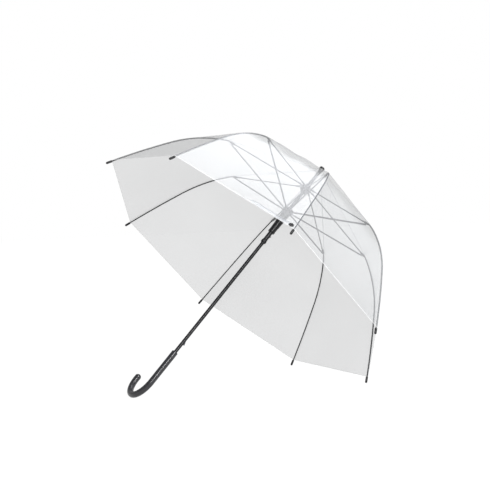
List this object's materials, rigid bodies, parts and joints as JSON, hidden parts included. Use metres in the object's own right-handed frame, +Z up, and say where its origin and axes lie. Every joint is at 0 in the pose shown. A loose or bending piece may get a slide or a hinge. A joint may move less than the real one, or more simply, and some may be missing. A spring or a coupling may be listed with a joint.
{
  "type": "umbrella",
  "caption": "Clear-film dome umbrella on a slim black shaft with a crook handle, open and lying down; ribs, stretchers and runner fold together.",
  "frame": {"origin": "on the floor, under the middle of the open umbrella's bounding box, as it lies on two rib tips and the crook", "axes": "+Z up from the floor, +Y level and towards the canopy's top, +X across the canopy, its widest way"},
  "size_m": [0.84, 0.6704, 0.6686],
  "materials": {
    "clear_film": "clear glossy film",
    "clear_plastic": "clear glossy",
    "black_steel": "gloss black",
    "fibreglass": "satin black",
    "black_plastic": "satin black",
    "gloss_black_plastic": "gloss black",
    "handle_plastic": "satin dark grey",
    "spring_steel": "blackened"
  },
  "bodies": {
    "root": {"shaft": "black_steel", "notch": "black_plastic", "ferrule_cap": "black_plastic", "apex_washer": "clear_plastic", "handle": "handle_plastic", "canopy": "clear_film"},
    "runner": {"runner_body": "gloss_black_plastic", "runner_sleeve": "black_steel"},
    "top_catch": {"top_catch": "spring_steel"},
    "bottom_catch": {"bottom_catch": "spring_steel"},
    "rib_1": {"rib_1_inner": "fibreglass", "rib_1_clip": "black_plastic"},
    "rib_1_mid": {"rib_1_mid": "fibreglass"},
    "rib_1_end": {"rib_1_end": "fibreglass", "rib_1_tip": "black_plastic"},
    "stretcher_1": {"stretcher_1": "black_steel"},
    "rib_2": {"rib_2_inner": "fibreglass", "rib_2_clip": "black_plastic"},
    "rib_2_mid": {"rib_2_mid": "fibreglass"},
    "rib_2_end": {"rib_2_end": "fibreglass", "rib_2_tip": "black_plastic"},
    "stretcher_2": {"stretcher_2": "black_steel"},
    "rib_3": {"rib_3_inner": "fibreglass", "rib_3_clip": "black_plastic"},
    "rib_3_mid": {"rib_3_mid": "fibreglass"},
    "rib_3_end": {"rib_3_end": "fibreglass", "rib_3_tip": "black_plastic"},
    "stretcher_3": {"stretcher_3": "black_steel"},
    "rib_4": {"rib_4_inner": "fibreglass", "rib_4_clip": "black_plastic"},
    "rib_4_mid": {"rib_4_mid": "fibreglass"},
    "rib_4_end": {"rib_4_end": "fibreglass", "rib_4_tip": "black_plastic"},
    "stretcher_4": {"stretcher_4": "black_steel"},
    "rib_5": {"rib_5_inner": "fibreglass", "rib_5_clip": "black_plastic"},
    "rib_5_mid": {"rib_5_mid": "fibreglass"},
    "rib_5_end": {"rib_5_end": "fibreglass", "rib_5_tip": "black_plastic"},
    "stretcher_5": {"stretcher_5": "black_steel"},
    "rib_6": {"rib_6_inner": "fibreglass", "rib_6_clip": "black_plastic"},
    "rib_6_mid": {"rib_6_mid": "fibreglass"},
    "rib_6_end": {"rib_6_end": "fibreglass", "rib_6_tip": "black_plastic"},
    "stretcher_6": {"stretcher_6": "black_steel"},
    "rib_7": {"rib_7_inner": "fibreglass", "rib_7_clip": "black_plastic"},
    "rib_7_mid": {"rib_7_mid": "fibreglass"},
    "rib_7_end": {"rib_7_end": "fibreglass", "rib_7_tip": "black_plastic", "closure_strap": "clear_film", "strap_snap": "black_plastic"},
    "stretcher_7": {"stretcher_7": "black_steel"},
    "rib_8": {"rib_8_inner": "fibreglass", "rib_8_clip": "black_plastic"},
    "rib_8_mid": {"rib_8_mid": "fibreglass"},
    "rib_8_end": {"rib_8_end": "fibreglass", "rib_8_tip": "black_plastic"},
    "stretcher_8": {"stretcher_8": "black_steel"}
  },
  "joints": [
    {"name": "fold", "type": "hinge", "parent": "root", "child": "rib_1", "pos_m": [-0.00517, 0.18668, 0.53032], "axis": [0.9239, -0.2666, 0.2745], "range_deg": [0, 79.5], "deforming": ["canopy", "closure_strap", "strap_snap", "top_catch", "bottom_catch"]},
    {"name": "rib_1_flex_inner", "type": "hinge", "parent": "rib_1", "child": "rib_1_mid", "pos_m": [-0.09476, 0.0074, 0.65772], "axis": [0.9239, -0.2666, 0.2745], "range_deg": [-33.97, 0]},
    {"name": "rib_1_flex_outer", "type": "hinge", "parent": "rib_1_mid", "child": "rib_1_end", "pos_m": [-0.13777, -0.14397, 0.65541], "axis": [0.9239, -0.2666, 0.2745], "range_deg": [-16.64, 0]},
    {"name": "stretcher_1_pivot", "type": "hinge", "parent": "rib_1", "child": "stretcher_1", "pos_m": [-0.08993, 0.01397, 0.64783], "axis": [0.9239, -0.2666, 0.2745], "range_deg": [-159.8, 0]},
    {"name": "rib_2_fold", "type": "hinge", "parent": "root", "child": "rib_2", "pos_m": [-0.01247, 0.19177, 0.52508], "axis": [0.3827, -0.6437, 0.6627], "range_deg": [0, 79.9]},
    {"name": "rib_2_flex_inner", "type": "hinge", "parent": "rib_2", "child": "rib_2_mid", "pos_m": [-0.22878, 0.10078, 0.5616], "axis": [0.3827, -0.6437, 0.6627], "range_deg": [-33.97, 0]},
    {"name": "rib_2_flex_outer", "type": "hinge", "parent": "rib_2_mid", "child": "rib_2_end", "pos_m": [-0.3326, -0.00821, 0.51567], "axis": [0.3827, -0.6437, 0.6627], "range_deg": [-16.64, 0]},
    {"name": "stretcher_2_pivot", "type": "hinge", "parent": "rib_2", "child": "stretcher_2", "pos_m": [-0.21711, 0.10258, 0.55661], "axis": [0.3827, -0.6437, 0.6627], "range_deg": [-159.8, 0]},
    {"name": "rib_3_fold", "type": "hinge", "parent": "root", "child": "rib_3", "pos_m": [-0.01247, 0.19897, 0.51766], "axis": [-0.3827, -0.6437, 0.6627], "range_deg": [0, 79.9]},
    {"name": "rib_3_flex_inner", "type": "hinge", "parent": "rib_3", "child": "rib_3_mid", "pos_m": [-0.22878, 0.23284, 0.42566], "axis": [-0.3827, -0.6437, 0.6627], "range_deg": [-33.97, 0]},
    {"name": "rib_3_flex_outer", "type": "hinge", "parent": "rib_3_mid", "child": "rib_3_end", "pos_m": [-0.3326, 0.18377, 0.31804], "axis": [-0.3827, -0.6437, 0.6627], "range_deg": [-16.64, 0]},
    {"name": "stretcher_3_pivot", "type": "hinge", "parent": "rib_3", "child": "stretcher_3", "pos_m": [-0.21711, 0.22791, 0.4276], "axis": [-0.3827, -0.6437, 0.6627], "range_deg": [-159.8, 0]},
    {"name": "rib_4_fold", "type": "hinge", "parent": "root", "child": "rib_4", "pos_m": [-0.00517, 0.20406, 0.51242], "axis": [-0.9239, -0.2666, 0.2745], "range_deg": [0, 79.9]},
    {"name": "rib_4_flex_inner", "type": "hinge", "parent": "rib_4", "child": "rib_4_mid", "pos_m": [-0.09476, 0.32623, 0.32953], "axis": [-0.9239, -0.2666, 0.2745], "range_deg": [-33.97, 0]},
    {"name": "rib_4_flex_outer", "type": "hinge", "parent": "rib_4_mid", "child": "rib_4_end", "pos_m": [-0.13777, 0.31953, 0.17829], "axis": [-0.9239, -0.2666, 0.2745], "range_deg": [-16.64, 0]},
    {"name": "stretcher_4_pivot", "type": "hinge", "parent": "rib_4", "child": "stretcher_4", "pos_m": [-0.08993, 0.31653, 0.33638], "axis": [-0.9239, -0.2666, 0.2745], "range_deg": [-159.8, 0]},
    {"name": "rib_5_fold", "type": "hinge", "parent": "root", "child": "rib_5", "pos_m": [0.00517, 0.20406, 0.51242], "axis": [-0.9239, 0.2666, -0.2745], "range_deg": [0, 79.9]},
    {"name": "rib_5_flex_inner", "type": "hinge", "parent": "rib_5", "child": "rib_5_mid", "pos_m": [0.09476, 0.32623, 0.32953], "axis": [-0.9239, 0.2666, -0.2745], "range_deg": [-33.97, 0]},
    {"name": "rib_5_flex_outer", "type": "hinge", "parent": "rib_5_mid", "child": "rib_5_end", "pos_m": [0.13777, 0.31953, 0.17829], "axis": [-0.9239, 0.2666, -0.2745], "range_deg": [-16.64, 0]},
    {"name": "stretcher_5_pivot", "type": "hinge", "parent": "rib_5", "child": "stretcher_5", "pos_m": [0.08993, 0.31653, 0.33638], "axis": [-0.9239, 0.2666, -0.2745], "range_deg": [-159.8, 0]},
    {"name": "rib_6_fold", "type": "hinge", "parent": "root", "child": "rib_6", "pos_m": [0.01247, 0.19897, 0.51766], "axis": [-0.3827, 0.6437, -0.6627], "range_deg": [0, 79.9]},
    {"name": "rib_6_flex_inner", "type": "hinge", "parent": "rib_6", "child": "rib_6_mid", "pos_m": [0.22878, 0.23284, 0.42566], "axis": [-0.3827, 0.6437, -0.6627], "range_deg": [-33.97, 0]},
    {"name": "rib_6_flex_outer", "type": "hinge", "parent": "rib_6_mid", "child": "rib_6_end", "pos_m": [0.3326, 0.18377, 0.31804], "axis": [-0.3827, 0.6437, -0.6627], "range_deg": [-16.64, 0]},
    {"name": "stretcher_6_pivot", "type": "hinge", "parent": "rib_6", "child": "stretcher_6", "pos_m": [0.21711, 0.22791, 0.4276], "axis": [-0.3827, 0.6437, -0.6627], "range_deg": [-159.8, 0]},
    {"name": "rib_7_fold", "type": "hinge", "parent": "root", "child": "rib_7", "pos_m": [0.01247, 0.19177, 0.52508], "axis": [0.3827, 0.6437, -0.6627], "range_deg": [0, 79.9]},
    {"name": "rib_7_flex_inner", "type": "hinge", "parent": "rib_7", "child": "rib_7_mid", "pos_m": [0.22878, 0.10078, 0.5616], "axis": [0.3827, 0.6437, -0.6627], "range_deg": [-33.97, 0]},
    {"name": "rib_7_flex_outer", "type": "hinge", "parent": "rib_7_mid", "child": "rib_7_end", "pos_m": [0.3326, -0.00821, 0.51567], "axis": [0.3827, 0.6437, -0.6627], "range_deg": [-16.64, 0]},
    {"name": "stretcher_7_pivot", "type": "hinge", "parent": "rib_7", "child": "stretcher_7", "pos_m": [0.21711, 0.10258, 0.55661], "axis": [0.3827, 0.6437, -0.6627], "range_deg": [-159.8, 0]},
    {"name": "rib_8_fold", "type": "hinge", "parent": "root", "child": "rib_8", "pos_m": [0.00517, 0.18668, 0.53032], "axis": [0.9239, 0.2666, -0.2745], "range_deg": [0, 79.9]},
    {"name": "rib_8_flex_inner", "type": "hinge", "parent": "rib_8", "child": "rib_8_mid", "pos_m": [0.09476, 0.0074, 0.65772], "axis": [0.9239, 0.2666, -0.2745], "range_deg": [-33.97, 0]},
    {"name": "rib_8_flex_outer", "type": "hinge", "parent": "rib_8_mid", "child": "rib_8_end", "pos_m": [0.13777, -0.14397, 0.65541], "axis": [0.9239, 0.2666, -0.2745], "range_deg": [-16.64, 0]},
    {"name": "stretcher_8_pivot", "type": "hinge", "parent": "rib_8", "child": "stretcher_8", "pos_m": [0.08993, 0.01397, 0.64783], "axis": [0.9239, 0.2666, -0.2745], "range_deg": [-159.8, 0]},
    {"name": "runner_pivot", "type": "hinge", "parent": "stretcher_1", "child": "runner", "pos_m": [-0.00517, 0.12643, 0.47179], "axis": [0.9239, -0.2666, 0.2745], "range_deg": [0, 79.9]},
    {"name": "top_catch_press", "type": "hinge", "parent": "root", "child": "top_catch", "pos_m": [0.00096, 0.06279, 0.3889], "axis": [0.9397, -0.2383, 0.2453], "range_deg": [0, 15], "stiffness_Nm_per_rad": 0.02, "springref_deg": -5.73},
    {"name": "bottom_catch_press", "type": "hinge", "parent": "root", "child": "bottom_catch", "pos_m": [0.00096, -0.19385, 0.13959], "axis": [-0.9397, 0.2383, -0.2453], "range_deg": [0, 15], "stiffness_Nm_per_rad": 0.02, "springref_deg": -5.73}
  ],
  "couplings": [
    {"joint": "rib_1_flex_inner", "follows": "fold", "ratio": -0.42517},
    {"joint": "rib_1_flex_outer", "follows": "fold", "ratio": -0.20827},
    {"joint": "stretcher_1_pivot", "follows": "fold", "ratio": -2},
    {"joint": "rib_2_fold", "follows": "fold", "ratio": 1},
    {"joint": "rib_2_flex_inner", "follows": "fold", "ratio": -0.42517},
    {"joint": "rib_2_flex_outer", "follows": "fold", "ratio": -0.20827},
    {"joint": "stretcher_2_pivot", "follows": "fold", "ratio": -2},
    {"joint": "rib_3_fold", "follows": "fold", "ratio": 1},
    {"joint": "rib_3_flex_inner", "follows": "fold", "ratio": -0.42517},
    {"joint": "rib_3_flex_outer", "follows": "fold", "ratio": -0.20827},
    {"joint": "stretcher_3_pivot", "follows": "fold", "ratio": -2},
    {"joint": "rib_4_fold", "follows": "fold", "ratio": 1},
    {"joint": "rib_4_flex_inner", "follows": "fold", "ratio": -0.42517},
    {"joint": "rib_4_flex_outer", "follows": "fold", "ratio": -0.20827},
    {"joint": "stretcher_4_pivot", "follows": "fold", "ratio": -2},
    {"joint": "rib_5_fold", "follows": "fold", "ratio": 1},
    {"joint": "rib_5_flex_inner", "follows": "fold", "ratio": -0.42517},
    {"joint": "rib_5_flex_outer", "follows": "fold", "ratio": -0.20827},
    {"joint": "stretcher_5_pivot", "follows": "fold", "ratio": -2},
    {"joint": "rib_6_fold", "follows": "fold", "ratio": 1},
    {"joint": "rib_6_flex_inner", "follows": "fold", "ratio": -0.42517},
    {"joint": "rib_6_flex_outer", "follows": "fold", "ratio": -0.20827},
    {"joint": "stretcher_6_pivot", "follows": "fold", "ratio": -2},
    {"joint": "rib_7_fold", "follows": "fold", "ratio": 1},
    {"joint": "rib_7_flex_inner", "follows": "fold", "ratio": -0.42517},
    {"joint": "rib_7_flex_outer", "follows": "fold", "ratio": -0.20827},
    {"joint": "stretcher_7_pivot", "follows": "fold", "ratio": -2},
    {"joint": "rib_8_fold", "follows": "fold", "ratio": 1},
    {"joint": "rib_8_flex_inner", "follows": "fold", "ratio": -0.42517},
    {"joint": "rib_8_flex_outer", "follows": "fold", "ratio": -0.20827},
    {"joint": "stretcher_8_pivot", "follows": "fold", "ratio": -2},
    {"joint": "runner_pivot", "follows": "fold", "ratio": 1}
  ]
}
